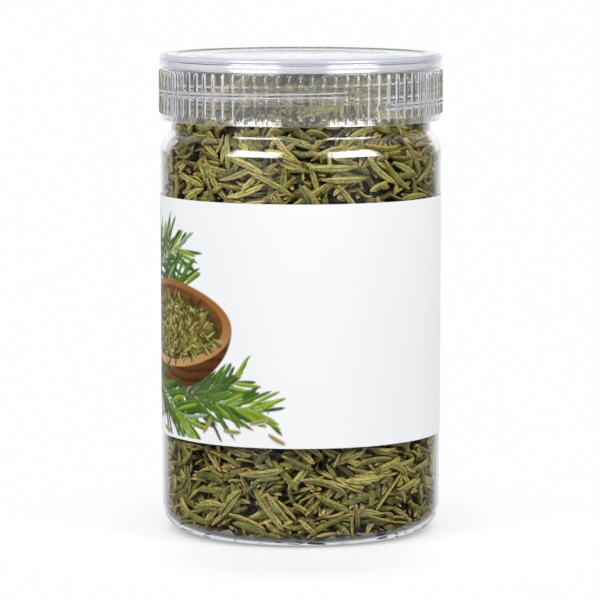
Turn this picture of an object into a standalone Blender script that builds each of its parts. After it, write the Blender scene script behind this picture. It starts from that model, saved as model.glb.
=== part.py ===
"""Spice jar of dried rosemary: clear jar, ribbed screw lid, seal disc, paper label and its filling.

Metres, +Z up. The origin is the centre of the ring that the jar stands on, and -Y is the front.
The lid is screwed shut. It unscrews anticlockwise seen from above, and rises along the thread.
"""

import math
import random

import bmesh
import bpy
from mathutils import Matrix, Vector, noise

MM = 0.001

# Jar, outside sizes
BODY_TOP_R = 43.70 * MM
BODY_LOW_R = 43.45 * MM
NECK_R = 40.45 * MM
WALL = 1.2 * MM
RIM_Z = 145.0 * MM
NECK_FOOT_Z = 125.2 * MM
SHOULDER_R = 8.7 * MM
SHOULDER_SWEEP = math.radians(50)
HEEL_R = 8.0 * MM
STAND_RING_R = 33.2 * MM
PUSH_UP = 2.4 * MM
BASE_CURVE = ((3.0 * MM, 0.9 * MM), (10.0 * MM, 1.9 * MM))  # how far in from the ring, and how high there
NECK_FILLET = ((0.0, 0.9 * MM), (0.2 * MM, 0.25 * MM))  # how far out from the neck, and how far above its foot
JAR_COLUMNS = 60
SHOULDER_STEPS = 4
HEEL_STEPS = 5

# Screw thread, one pitch for the jar and the lid, each half a pitch from the other
PITCH = 4.2 * MM
THREAD_FRONT_Z = 140.35 * MM
FRONT = math.radians(270)
JAR_THREAD_CREST_R = 41.6 * MM
JAR_THREAD_START = math.radians(200 - 360)
JAR_THREAD_TURNS = 1.5
LID_THREAD_CREST_R = 40.85 * MM
LID_THREAD_START = math.radians(-60)
LID_THREAD_TURNS = 1.0
THREAD_ROOT_H = 1.8 * MM
THREAD_CREST_H = 0.9 * MM
THREAD_STEPS_PER_TURN = 48
THREAD_FADE_TURNS = 0.05
THREAD_END_SHARE = 0.1
THREAD_OVERLAP = 0.5 * MM

# Lid
LID_FOOT_Z = 129.0 * MM
LID_TOP_Z = 149.5 * MM
LID_INSIDE_R = 42.2 * MM
LID_VALLEY_R = 43.5 * MM
LID_BAND_R = 43.95 * MM
LID_CREST_R = 44.3 * MM
LID_CORNER_R = 1.7 * MM
LID_CEILING_Z = 147.6 * MM
LID_RECESS_R = 39.4 * MM
LID_RECESS = 0.5 * MM
LID_CORNER_STEPS = 3
LID_FOOT_CHAMFER = 0.3 * MM
BAND_STEP = (0.2 * MM, -0.1 * MM)  # the band's foot and the wall's top, from BAND_Z
RIB_COUNT = 76
RIB_WIDTH = 1.0 * MM
RIB_FLANK = 0.2 * MM
RIB_LOW_Z = 130.8 * MM
RIB_HIGH_Z = 144.6 * MM
BAND_Z = 145.4 * MM

# Seal disc under the lid's ceiling
LINER_R = 41.8 * MM
LINER_LOW_Z = 145.3 * MM
LINER_HIGH_Z = 147.3 * MM
LINER_CHAMFER = 0.3 * MM

# Label
LABEL_LOW_Z = 31.2 * MM
LABEL_HIGH_Z = 105.7 * MM
LABEL_GAP = 0.10 * MM
LABEL_THICKNESS = 0.15 * MM
LABEL_SEAM_COLUMNS = 2

# Filling
BED_CLEARANCE = 3.3 * MM
BED_TOP_Z = 141.4 * MM
BED_CROWN = ((0.0, 0.6 * MM), (18 * MM, 0.5 * MM))  # radius, and rise over BED_TOP_Z
BED_FLOOR_Z = 5.2 * MM
BED_FLOOR_R = 30 * MM
BED_LUMP = 0.5 * MM
BED_LUMPS_PER_METRE = 260.0
BED_MEAN_R = 39.0 * MM
BED_COLUMNS = 36
INSIDE_MARGIN = 0.3 * MM
LEAF_WIDTH = 2.1 * MM
LEAF_THICKNESS = 1.25 * MM
LEAF_BEND = 0.12 * MM
LEAF_SPACING = 2.6 * MM
LEAF_TILT = 1.2
TOP_LEAF_RISE = 1.75 * MM
TOP_LEAF_SPREAD_R = 29 * MM
STEM_RADIUS = 0.6 * MM
STEM_SIDES = 8
PIECE_GAP = 0.3 * MM
SEED = 11
POSE_ATTEMPTS = 4000

# Where the separate leaves lie: shortest and longest leaf, the band's low and high end, and how many.
# The top zone has no band, its leaves lie flat on the filling.
LEAF_ZONES = {
    "low": (11.5 * MM, 15.5 * MM, 8.5 * MM, 30.0 * MM, 16),
    "high": (11.5 * MM, 15.5 * MM, 104.0 * MM, 120.5 * MM, 15),
    "neck": (10.0 * MM, 12.0 * MM, 127.5 * MM, 140.0 * MM, 8),
    "top": (11.5 * MM, 15.5 * MM, None, None, 10),
}
STEM_ZONES = ("low", "high", "top")
STEM_SHORTEST_SHARE = 0.7

CLEAR_PET = ("clear_pet", (0.86, 0.88, 0.90), 0.05, 0.35)
CLEAR_STYRENE = ("clear_styrene", (0.84, 0.86, 0.89), 0.08, 0.45)
WHITE_FOAM = ("white_foam", (0.90, 0.91, 0.92), 0.60, 1.0)
LABEL_PAPER = ("label_paper", (0.93, 0.93, 0.94), 0.45, 1.0)
DRIED_HERB = ("dried_herb", (0.13, 0.14, 0.05), 0.85, 1.0)
DRIED_LEAF = ("dried_leaf", (0.30, 0.33, 0.10), 0.70, 1.0)
DRIED_STEM = ("dried_stem", (0.35, 0.22, 0.10), 0.75, 1.0)


def clear_scene():
    for old in list(bpy.data.objects):
        bpy.data.objects.remove(old, do_unlink=True)


def new_collection(name):
    collection = bpy.data.collections.new(name)
    bpy.context.scene.collection.children.link(collection)
    return collection


def material(spec):
    name, colour, roughness, alpha = spec
    made = bpy.data.materials.get(name) or bpy.data.materials.new(name)
    made.use_nodes = True
    shader = made.node_tree.nodes["Principled BSDF"]
    shader.inputs["Base Color"].default_value = (*colour, 1.0)
    shader.inputs["Roughness"].default_value = roughness
    shader.inputs["Metallic"].default_value = 0.0
    shader.inputs["Alpha"].default_value = alpha
    return made


def add_object(name, mesh, spec, collection):
    obj = bpy.data.objects.new(name, mesh)
    obj.data.materials.append(material(spec))
    collection.objects.link(obj)
    return obj


def arc(centre_r, centre_z, radius, start, end, steps):
    """Profile points (r, z) on an arc, both ends included."""
    angles = [start + (end - start) * i / steps for i in range(steps + 1)]
    return [(centre_r + radius * math.cos(a), centre_z + radius * math.sin(a)) for a in angles]


def add_turned(name, profile, columns, spec, collection, start=0.0, sweep=2 * math.pi):
    """A profile of (r, z) points, outer side downwards, turned about Z by a Screw modifier."""
    mesh = bpy.data.meshes.new(name)
    drawn = bmesh.new()
    points = [drawn.verts.new((r * math.cos(start), r * math.sin(start), z)) for r, z in profile]
    for above, below in zip(points, points[1:]):
        drawn.edges.new((above, below))
    drawn.to_mesh(mesh)
    drawn.free()
    obj = add_object(name, mesh, spec, collection)
    screw = obj.modifiers.new("turn", "SCREW")
    screw.axis = "Z"
    screw.angle = sweep
    screw.steps = columns
    screw.render_steps = columns
    screw.use_merge_vertices = sweep == 2 * math.pi
    screw.merge_threshold = 0.00001
    screw.use_smooth_shade = True
    return obj


def add_wall(obj, thickness, side):
    solidify = obj.modifiers.new("wall", "SOLIDIFY")
    solidify.thickness = thickness
    solidify.offset = side
    solidify.use_even_offset = True


def bake(obj):
    """Applies every modifier, for a shape that is worked on further."""
    bpy.context.view_layer.update()
    evaluated = obj.evaluated_get(bpy.context.evaluated_depsgraph_get())
    obj.data = bpy.data.meshes.new_from_object(evaluated)
    obj.modifiers.clear()


def union(obj, other):
    """Joins a helper solid to a piece, and marks the helper so that it isn't a piece itself."""
    other.hide_render = True
    other.display_type = "WIRE"
    joined = obj.modifiers.new("join_" + other.name, "BOOLEAN")
    joined.operation = "UNION"
    joined.object = other


def helix_z(angle, front_z):
    return front_z + PITCH * (angle - FRONT) / (2 * math.pi)


def add_thread(name, root_r, crest_r, front_z, start, turns, helpers):
    """A helical ridge with a trapezium section, faded into its wall at both ends."""
    steps = round(THREAD_STEPS_PER_TURN * turns)
    sweep = 2 * math.pi * turns
    low_z = helix_z(start, front_z)
    section = [
        (root_r, -THREAD_ROOT_H / 2),
        (crest_r, -THREAD_CREST_H / 2),
        (crest_r, THREAD_CREST_H / 2),
        (root_r, THREAD_ROOT_H / 2),
    ]
    drawn = bmesh.new()
    corners = [drawn.verts.new((r, 0.0, low_z + z)) for r, z in section]
    first = drawn.faces.new(corners)
    bmesh.ops.rotate(drawn, verts=corners, cent=(0, 0, 0), matrix=Matrix.Rotation(start, 3, "Z"))
    bmesh.ops.spin(
        drawn,
        geom=[first, *first.edges, *corners],
        cent=(0, 0, 0),
        axis=(0, 0, 1),
        dvec=(0, 0, PITCH * turns / steps),
        angle=sweep,
        steps=steps,
        use_duplicate=False,
    )
    bmesh.ops.holes_fill(drawn, edges=[e for e in drawn.edges if e.is_boundary])
    for vert in drawn.verts:
        radius = math.hypot(vert.co.x, vert.co.y)
        if radius < (root_r + crest_r) / 2 and crest_r > root_r:
            continue
        if radius > (root_r + crest_r) / 2 and crest_r < root_r:
            continue
        part_turn = ((math.atan2(vert.co.y, vert.co.x) - start) / (2 * math.pi)) % 1.0
        whole_turns = round((vert.co.z - low_z) / PITCH - part_turn)
        from_end = min(part_turn + whole_turns, turns - part_turn - whole_turns)
        share = min(1.0, THREAD_END_SHARE + max(0.0, from_end) / THREAD_FADE_TURNS)
        wanted = root_r + (crest_r - root_r) * share
        vert.co.x *= wanted / radius
        vert.co.y *= wanted / radius
    bmesh.ops.recalc_face_normals(drawn, faces=drawn.faces)
    mesh = bpy.data.meshes.new(name)
    drawn.to_mesh(mesh)
    drawn.free()
    thread = bpy.data.objects.new(name, mesh)
    helpers.objects.link(thread)
    return thread


def body_radius(z):
    """The jar's outside radius on its straight, slightly tapered wall."""
    low_z = HEEL_R
    high_z = shoulder_centre_z()
    return BODY_LOW_R + (BODY_TOP_R - BODY_LOW_R) * (z - low_z) / (high_z - low_z)


def shoulder_centre_z():
    return NECK_FOOT_Z - SHOULDER_R * math.sin(SHOULDER_SWEEP)


def jar_profile():
    shoulder_r = BODY_TOP_R - SHOULDER_R
    heel_r = BODY_LOW_R - HEEL_R
    points = [(NECK_R, RIM_Z)]
    points += [(NECK_R + out, NECK_FOOT_Z + rise) for out, rise in NECK_FILLET]
    points += arc(shoulder_r, shoulder_centre_z(), SHOULDER_R, SHOULDER_SWEEP, 0.0, SHOULDER_STEPS)
    points += arc(heel_r, HEEL_R, HEEL_R, 0.0, -math.pi / 2, HEEL_STEPS)
    points += [(STAND_RING_R, 0.0)]
    points += [(STAND_RING_R - inward, rise) for inward, rise in BASE_CURVE]
    points += [(0.0, PUSH_UP)]
    return points


def add_jar(parts, helpers):
    jar = add_turned("jar", jar_profile(), JAR_COLUMNS, CLEAR_PET, parts)
    add_wall(jar, WALL, -1.0)
    thread = add_thread(
        "jar_thread",
        NECK_R - THREAD_OVERLAP,
        JAR_THREAD_CREST_R,
        THREAD_FRONT_Z,
        JAR_THREAD_START,
        JAR_THREAD_TURNS,
        helpers,
    )
    union(jar, thread)


def lid_profile():
    corner_r = LID_BAND_R - LID_CORNER_R
    corner_z = LID_TOP_Z - LID_CORNER_R
    recess_z = LID_TOP_Z - LID_RECESS
    band_foot, wall_top = BAND_STEP
    points = [(0.0, recess_z), (LID_RECESS_R, recess_z), (LID_RECESS_R + LID_RECESS, LID_TOP_Z)]
    points += arc(corner_r, corner_z, LID_CORNER_R, math.pi / 2, 0.0, LID_CORNER_STEPS)
    points += [
        (LID_BAND_R, BAND_Z + band_foot),
        (LID_VALLEY_R, BAND_Z + wall_top),
        (LID_VALLEY_R, LID_FOOT_Z + LID_FOOT_CHAMFER),
        (LID_VALLEY_R - LID_FOOT_CHAMFER, LID_FOOT_Z),
        (LID_INSIDE_R, LID_FOOT_Z),
        (LID_INSIDE_R, LID_CEILING_Z),
        (0.0, LID_CEILING_Z),
    ]
    return points


def raise_ribs(lid):
    """Grip ribs on the outside wall, one in each column, with a plain strip above and below them."""
    drawn = bmesh.new()
    drawn.from_mesh(lid.data)
    middle_r = (LID_INSIDE_R + LID_VALLEY_R) / 2
    outside = []
    for face in drawn.faces:
        middle = face.calc_center_median()
        upright = abs(face.normal.z) < 0.01 and face.normal.dot(middle) > 0
        if upright and middle.z < BAND_Z and middle.xy.length > middle_r:
            outside.append(face)
    column_width = 2 * LID_VALLEY_R * math.sin(math.pi / RIB_COUNT)
    bmesh.ops.inset_individual(drawn, faces=outside, thickness=(column_width - RIB_WIDTH) / 2)
    for face in outside:
        middle = face.calc_center_median().z
        for vert in face.verts:
            vert.co.z = RIB_HIGH_Z if vert.co.z > middle else RIB_LOW_Z
    rise = LID_CREST_R - LID_VALLEY_R
    bmesh.ops.inset_individual(drawn, faces=outside, thickness=RIB_FLANK, depth=rise)
    drawn.to_mesh(lid.data)
    drawn.free()


def add_lid(parts, helpers):
    half_column = math.pi / RIB_COUNT
    lid = add_turned("lid", lid_profile(), RIB_COUNT, CLEAR_STYRENE, parts, start=half_column)
    bake(lid)
    raise_ribs(lid)
    thread = add_thread(
        "lid_thread",
        LID_INSIDE_R + THREAD_OVERLAP,
        LID_THREAD_CREST_R,
        THREAD_FRONT_Z - PITCH / 2,
        LID_THREAD_START,
        LID_THREAD_TURNS,
        helpers,
    )
    union(lid, thread)


def add_liner(parts):
    profile = [
        (0.0, LINER_HIGH_Z),
        (LINER_R - LINER_CHAMFER, LINER_HIGH_Z),
        (LINER_R, LINER_HIGH_Z - LINER_CHAMFER),
        (LINER_R, LINER_LOW_Z + LINER_CHAMFER),
        (LINER_R - LINER_CHAMFER, LINER_LOW_Z),
        (0.0, LINER_LOW_Z),
    ]
    add_turned("lid_liner", profile, JAR_COLUMNS, WHITE_FOAM, parts)


def add_label(parts):
    """Paper that follows the jar's own facets, with its seam gap at the back."""
    column = 2 * math.pi / JAR_COLUMNS
    covered = JAR_COLUMNS - LABEL_SEAM_COLUMNS
    start = math.pi / 2 + column * LABEL_SEAM_COLUMNS / 2
    profile = [(body_radius(z) + LABEL_GAP, z) for z in (LABEL_HIGH_Z, LABEL_LOW_Z)]
    label = add_turned("label", profile, covered, LABEL_PAPER, parts, start, column * covered)
    add_wall(label, LABEL_THICKNESS, 1.0)


def inside_radius(z):
    """The jar's inside radius at a height, a little under the true one at the shoulder."""
    if z > NECK_FOOT_Z:
        return NECK_R - WALL
    if z > shoulder_centre_z():
        rise = (z - shoulder_centre_z()) / SHOULDER_R
        return BODY_TOP_R - SHOULDER_R * (1 - math.sqrt(1 - rise * rise)) - WALL - INSIDE_MARGIN
    if z < HEEL_R:
        drop = (HEEL_R - z) / HEEL_R
        return BODY_LOW_R - HEEL_R * (1 - math.sqrt(max(0.0, 1 - drop * drop))) - WALL - INSIDE_MARGIN
    return body_radius(z) - WALL


def add_bed(parts):
    """The bulk of the filling, a closed lumpy solid that leaves room for leaves against the wall."""
    heights = [BED_TOP_Z, 136 * MM, 130 * MM, 124 * MM, 118 * MM, 104 * MM, 90 * MM, 76 * MM, 62 * MM]
    heights += [48 * MM, 34 * MM, 22 * MM, 12 * MM, 7 * MM]
    profile = [(radius, BED_TOP_Z + rise) for radius, rise in BED_CROWN]
    profile += [(min(inside_radius(z), inside_radius(z - 2 * MM)) - BED_CLEARANCE, z) for z in heights]
    profile += [(BED_FLOOR_R, BED_FLOOR_Z), (0.0, BED_FLOOR_Z)]
    bed = add_turned("rosemary_bed", profile, BED_COLUMNS, DRIED_HERB, parts)
    bake(bed)
    for vert in bed.data.vertices:
        lump = 2 * abs(noise.noise(vert.co * BED_LUMPS_PER_METRE))
        inward = 1.0 - BED_LUMP * lump / BED_MEAN_R
        vert.co.x *= inward
        vert.co.y *= inward


def segment_distance(p1, p2, q1, q2):
    """The least distance between two segments, near enough for spacing leaves."""
    steps = 6
    best = 1.0
    along_q = q2 - q1
    for i in range(steps + 1):
        point = p1.lerp(p2, i / steps)
        share = max(0.0, min(1.0, (point - q1).dot(along_q) / along_q.length_squared))
        best = min(best, (point - q1 - along_q * share).length)
    return best


def leaf_mesh(name, length):
    """A narrow dried leaf: blunt, a little curved, wider than it is thick."""
    drawn = bmesh.new()
    bmesh.ops.create_uvsphere(drawn, u_segments=6, v_segments=6, radius=1.0)
    bmesh.ops.rotate(drawn, verts=drawn.verts, cent=(0, 0, 0), matrix=Matrix.Rotation(math.pi / 2, 3, "Y"))
    for vert in drawn.verts:
        across = math.sqrt(max(0.0, 1 - vert.co.x**2))
        fuller = (1 - abs(vert.co.x) ** 3) / across if across > 0.01 else 1.0
        vert.co.y *= fuller * LEAF_WIDTH / 2
        vert.co.z = vert.co.z * fuller * LEAF_THICKNESS / 2 - LEAF_BEND * vert.co.x**2
        vert.co.x *= length / 2
    mesh = bpy.data.meshes.new(name)
    drawn.to_mesh(mesh)
    drawn.free()
    mesh.shade_smooth()
    return mesh


def wall_leaf_pose(pick, low_z, high_z, length):
    """A pose against the jar's wall: centre, direction, outward. None where it doesn't fit."""
    around = pick.uniform(0, 2 * math.pi)
    tilt = pick.uniform(-LEAF_TILT, LEAF_TILT)
    height = pick.uniform(low_z, high_z)
    outward = Vector((math.cos(around), math.sin(around), 0))
    sideways = Vector((-math.sin(around), math.cos(around), 0))
    direction = sideways * math.cos(tilt) + Vector((0, 0, 1)) * math.sin(tilt)
    reach = length / 2 * abs(math.sin(tilt))
    if height - reach < low_z or height + reach > high_z:
        return None
    wall = min(inside_radius(height - reach), inside_radius(height + reach), inside_radius(height))
    centre_r = wall - PIECE_GAP * 2 - LEAF_THICKNESS / 2
    side_reach = length / 2 * math.cos(tilt)
    centre_r = math.sqrt(centre_r * centre_r - side_reach * side_reach * 0.9)
    if centre_r - LEAF_THICKNESS / 2 < wall - BED_CLEARANCE + PIECE_GAP * 0.8:
        return None
    return outward * centre_r + Vector((0, 0, height)), direction, outward


def top_leaf_pose(pick, length):
    """A pose lying on the filling under the seal disc."""
    around = pick.uniform(0, 2 * math.pi)
    turn = pick.uniform(0, math.pi)
    radius = TOP_LEAF_SPREAD_R * math.sqrt(pick.random())
    direction = Vector((math.cos(turn), math.sin(turn), 0))
    centre = Vector((radius * math.cos(around), radius * math.sin(around), BED_TOP_Z + TOP_LEAF_RISE))
    if max((centre.xy + direction.xy * s * length / 2).length for s in (-1, 1)) > NECK_R - WALL - PIECE_GAP * 3:
        return None
    return centre, direction, Vector((0, 0, 1))


def stem_mesh(name, length):
    """A bit of dried stem, a short round stick."""
    drawn = bmesh.new()
    bmesh.ops.create_cone(
        drawn, cap_ends=True, segments=STEM_SIDES, radius1=STEM_RADIUS, radius2=STEM_RADIUS * 0.8, depth=length
    )
    bmesh.ops.rotate(drawn, verts=drawn.verts, cent=(0, 0, 0), matrix=Matrix.Rotation(math.pi / 2, 3, "Y"))
    mesh = bpy.data.meshes.new(name)
    drawn.to_mesh(mesh)
    drawn.free()
    return mesh


def find_pose(pick, shortest, longest, low_z, high_z, placed):
    """Tries poses in a zone until one keeps its distance from every piece placed so far."""
    for _attempt in range(POSE_ATTEMPTS):
        length = pick.uniform(shortest, longest)
        pose = top_leaf_pose(pick, length) if low_z is None else wall_leaf_pose(pick, low_z, high_z, length)
        if pose is None:
            continue
        centre, direction, outward = pose
        ends = centre - direction * length / 2, centre + direction * length / 2
        if any(segment_distance(*ends, *other) < LEAF_SPACING for other in placed):
            continue
        placed.append(ends)
        turned = Matrix((direction, outward.cross(direction), outward)).transposed()
        return Matrix.Translation(centre) @ turned.to_4x4(), length
    raise ValueError("no room left for another leaf")


def add_leaves(parts):
    """Stem bits in three zones, then separate leaves in all four."""
    pick = random.Random(SEED)
    placed = []
    for number, zone in enumerate(STEM_ZONES):
        longest, _longest_leaf, low_z, high_z, _count = LEAF_ZONES[zone]
        pose, length = find_pose(pick, longest * STEM_SHORTEST_SHARE, longest, low_z, high_z, placed)
        name = f"stem_bit_{number + 1}"
        add_object(name, stem_mesh(name, length), DRIED_STEM, parts).matrix_world = pose
    for zone, (shortest, longest, low_z, high_z, count) in LEAF_ZONES.items():
        for number in range(count):
            pose, length = find_pose(pick, shortest, longest, low_z, high_z, placed)
            name = f"leaf_{zone}_{number + 1:02d}"
            add_object(name, leaf_mesh(name, length), DRIED_LEAF, parts).matrix_world = pose


def main():
    clear_scene()
    parts = new_collection("spice_jar")
    helpers = new_collection("helpers")
    add_jar(parts, helpers)
    add_lid(parts, helpers)
    add_liner(parts)
    add_label(parts)
    add_bed(parts)
    add_leaves(parts)
    bpy.context.view_layer.update()


main()
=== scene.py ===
import math

import bmesh
import bpy
import numpy as np
from mathutils import Matrix, Vector, noise


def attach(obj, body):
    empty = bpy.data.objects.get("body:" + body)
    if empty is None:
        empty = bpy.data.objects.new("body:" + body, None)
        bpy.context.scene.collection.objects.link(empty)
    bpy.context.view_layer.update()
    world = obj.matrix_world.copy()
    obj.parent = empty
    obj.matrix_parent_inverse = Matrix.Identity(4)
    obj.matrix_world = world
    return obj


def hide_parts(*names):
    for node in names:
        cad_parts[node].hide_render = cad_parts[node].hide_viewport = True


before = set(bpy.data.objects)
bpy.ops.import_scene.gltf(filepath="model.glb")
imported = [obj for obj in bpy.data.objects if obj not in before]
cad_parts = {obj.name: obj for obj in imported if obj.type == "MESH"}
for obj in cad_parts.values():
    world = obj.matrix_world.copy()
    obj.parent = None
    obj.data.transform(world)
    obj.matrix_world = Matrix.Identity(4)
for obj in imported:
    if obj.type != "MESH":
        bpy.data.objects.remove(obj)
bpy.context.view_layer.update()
mm = 0.001
fullTurn = 2 * math.pi
fewer = 1.0


def toLinear(hexText):
    channels = [int(hexText[i:i + 2], 16) / 255 for i in (1, 3, 5)]
    return [c / 12.92 if c <= 0.04045 else ((c + 0.055) / 1.055) ** 2.4 for c in channels] + [1.0]


def addNode(tree, kind, settings=None, links=None):
    node = tree.nodes.new(kind)
    for key, value in (settings or {}).items():
        if isinstance(key, int) or key in node.inputs:
            node.inputs[key].default_value = value
        else:
            setattr(node, key, value)
    for key, source in (links or {}).items():
        tree.links.new(source, node.inputs[key])
    return node


def newMaterial(name):
    material = bpy.data.materials.new(name)
    material.use_nodes = True
    material.node_tree.nodes.clear()
    return material, material.node_tree


def makePiece(drawn, name, material, body, nodes=(), sharpAngle=None):
    mesh = bpy.data.meshes.new(name)
    drawn.to_mesh(mesh)
    drawn.free()
    mesh.materials.append(material)
    mesh.polygons.foreach_set("use_smooth", [True] * len(mesh.polygons))
    if sharpAngle:
        mesh.set_sharp_from_angle(angle=math.radians(sharpAngle))
    piece = bpy.data.objects.new(name, mesh)
    bpy.context.scene.collection.objects.link(piece)
    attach(piece, body)
    if nodes:
        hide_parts(*nodes)
    return piece


def drawProfile(corners):
    # corners are (radius, height, rounding, segments) in mm, from one end of the section to the other
    drawn = bmesh.new()
    points = [drawn.verts.new((r * mm, 0, z * mm)) for r, z, _, _ in corners]
    for first, second in zip(points, points[1:]):
        drawn.edges.new((first, second))
    for point, (_, _, rounding, segments) in zip(points, corners):
        if rounding:
            bmesh.ops.bevel(drawn, geom=[point], offset=rounding * mm, offset_type="OFFSET",
                            segments=segments, profile=0.5, affect="VERTICES", material=-1)
    return drawn


def cutRings(drawn, radius, heights):
    # extra points on the section's upright line at this radius
    for height in heights:
        wall = [e for e in drawn.edges if all(abs(v.co.x - radius * mm) < 0.03 * mm for v in e.verts)]
        ends = list({v for e in wall for v in e.verts})
        bmesh.ops.bisect_plane(drawn, geom=wall + ends, plane_co=(0, 0, height * mm), plane_no=(0, 0, 1))


def spinRound(drawn, columns):
    bmesh.ops.spin(drawn, geom=drawn.verts[:] + drawn.edges[:], cent=(0, 0, 0), axis=(0, 0, 1),
                   angle=fullTurn, steps=columns, use_merge=True)
    bmesh.ops.remove_doubles(drawn, verts=drawn.verts, dist=0.002 * mm)
    bmesh.ops.recalc_face_normals(drawn, faces=drawn.faces)


def smoothStep(value, low, high):
    share = min(1.0, max(0.0, (value - low) / (high - low)))
    return share * share * (3 - 2 * share)


def raiseThread(drawn, thread, wallRadius):
    # lifts the rings of a neck or skirt into one helical ridge, faded out at both ends
    for vert in drawn.verts:
        radius = math.hypot(vert.co.x, vert.co.y) / mm
        if abs(radius - wallRadius) > 0.05:
            continue
        angle = math.degrees(math.atan2(vert.co.y, vert.co.x))
        rise = 0.0
        for turn in (-1, 0, 1):
            total = angle + 360 * turn
            along = (total - thread["startAngle"]) / 360
            if not 0 < along < thread["turns"]:
                continue
            fade = smoothStep(min(along, thread["turns"] - along), 0.0, thread["fadeTurns"])
            middle = thread["frontHeight"] + thread["pitch"] * (total - 270) / 360
            away = abs(vert.co.z / mm - middle)
            rise = max(rise, fade * (1 - smoothStep(away, thread["crestHalf"], thread["rootHalf"])))
        scale = (radius + rise * (thread["crestRadius"] - wallRadius)) / radius
        vert.co.x *= scale
        vert.co.y *= scale


# Camera, at the height and distance of a long lens on a table-top set
shot = {"lens": 229.5, "distance": 1.2013, "aimHeight": 0.0719, "tiltDown": 6.334, "sideways": -0.00025}

tilt = math.radians(shot["tiltDown"])
cameraData = bpy.data.cameras.new("camera")
cameraData.lens = shot["lens"]
cameraData.sensor_width = 36
cameraData.clip_end = 20
camera = bpy.data.objects.new("camera", cameraData)
camera.location = (shot["sideways"], -shot["distance"] * math.cos(tilt),
                   shot["aimHeight"] + shot["distance"] * math.sin(tilt))
camera.rotation_euler = (math.pi / 2 - tilt, 0, 0)
bpy.context.scene.collection.objects.link(camera)
bpy.context.scene.camera = camera
bpy.context.scene.view_settings.view_transform = "Standard"

# Soft studio light: two big front boxes and a top box. The surroundings hold what clear walls let through
# and reflect. Angles are degrees from the front; heights are the Z of a ray's direction.
studio = {
    "boxes": [
        {"name": "left_box", "place": (-0.70, -0.52, 0.62), "size": (0.45, 0.5), "watts": 7.0},
        {"name": "right_box", "place": (0.74, -0.46, 0.60), "size": (0.45, 0.5), "watts": 6.7},
        {"name": "top_box", "place": (0.0, -0.62, 0.85), "size": (0.6, 0.4), "watts": 2.2},
    ],
    "through": 0.99,        # what shows through clear walls
    "throughOverhead": 0.35, "overhead": (0.35, 0.75),
    "ambient": 0.57,        # what matt surfaces receive from all round
    "ambientInside": 0.07,  # and what the filling receives through the walls
    "mirrorFront": 0.02,    # what gloss reflects
    "mirrorBack": 0.26, "backAngles": (104.0, 152.0),
    "mirrorFar": 0.96, "farAngles": (128.0, 160.0), "farFoot": (-0.26, -0.19), "farTop": (0.2, 0.32),
    "mirrorSlot": 0.25, "slotAngles": (169.0, 174.0), "slotTop": (-0.04, 0.0),
    "mirrorHorizon": 0.1, "horizonAngles": (50.0, 75.0),
    "horizonFoot": (0.01, 0.05), "horizonTop": (0.15, 0.22),
    "panels": [(-41, 22), (46.5, 22)],   # middle and half width of each soft panel
    "panelEdge": 6.0, "panelBright": 10.0, "panelBottom": (0.18, 0.26), "panelTop": (0.58, 0.68),
    "panelFoot": 0.36, "footFade": 0.3, "footHeights": (-0.17, -0.05),
    "guided": 0.93,         # what light sees after running along inside a wall
    "backdrop": 0.995,
}


def addBox(box):
    light = bpy.data.lights.new(box["name"], "AREA")
    light.shape = "RECTANGLE"
    light.size, light.size_y = box["size"]
    light.energy = box["watts"]
    holder = bpy.data.objects.new(box["name"], light)
    holder.location = box["place"]
    aim = Vector((0, 0, 0.075)) - Vector(box["place"])
    holder.rotation_euler = aim.to_track_quat("-Z", "Y").to_euler()
    holder.visible_glossy = holder.visible_transmission = False   # the surroundings hold what gloss reflects
    bpy.context.scene.collection.objects.link(holder)


for box in studio["boxes"]:
    addBox(box)


def ramped(tree, source, low, high, start, end):
    settings = {"interpolation_type": "SMOOTHSTEP", "From Min": low, "From Max": high,
                "To Min": start, "To Max": end}
    return addNode(tree, "ShaderNodeMapRange", settings, {"Value": source}).outputs[0]


def reckon(tree, operation, first, second):
    # numbers are set on the socket, outputs are linked to it
    values = {i: v for i, v in enumerate((first, second)) if isinstance(v, (int, float))}
    sources = {i: v for i, v in enumerate((first, second)) if not isinstance(v, (int, float))}
    return addNode(tree, "ShaderNodeMath", {"operation": operation, **values}, sources).outputs[0]


def choose(tree, factor, without, having):
    values = {k: v for k, v in (("A", without), ("B", having)) if isinstance(v, (int, float))}
    sources = {k: v for k, v in (("A", without), ("B", having)) if not isinstance(v, (int, float))}
    sources["Factor"] = factor
    return addNode(tree, "ShaderNodeMix", {"data_type": "FLOAT", **values}, sources).outputs[0]


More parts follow.
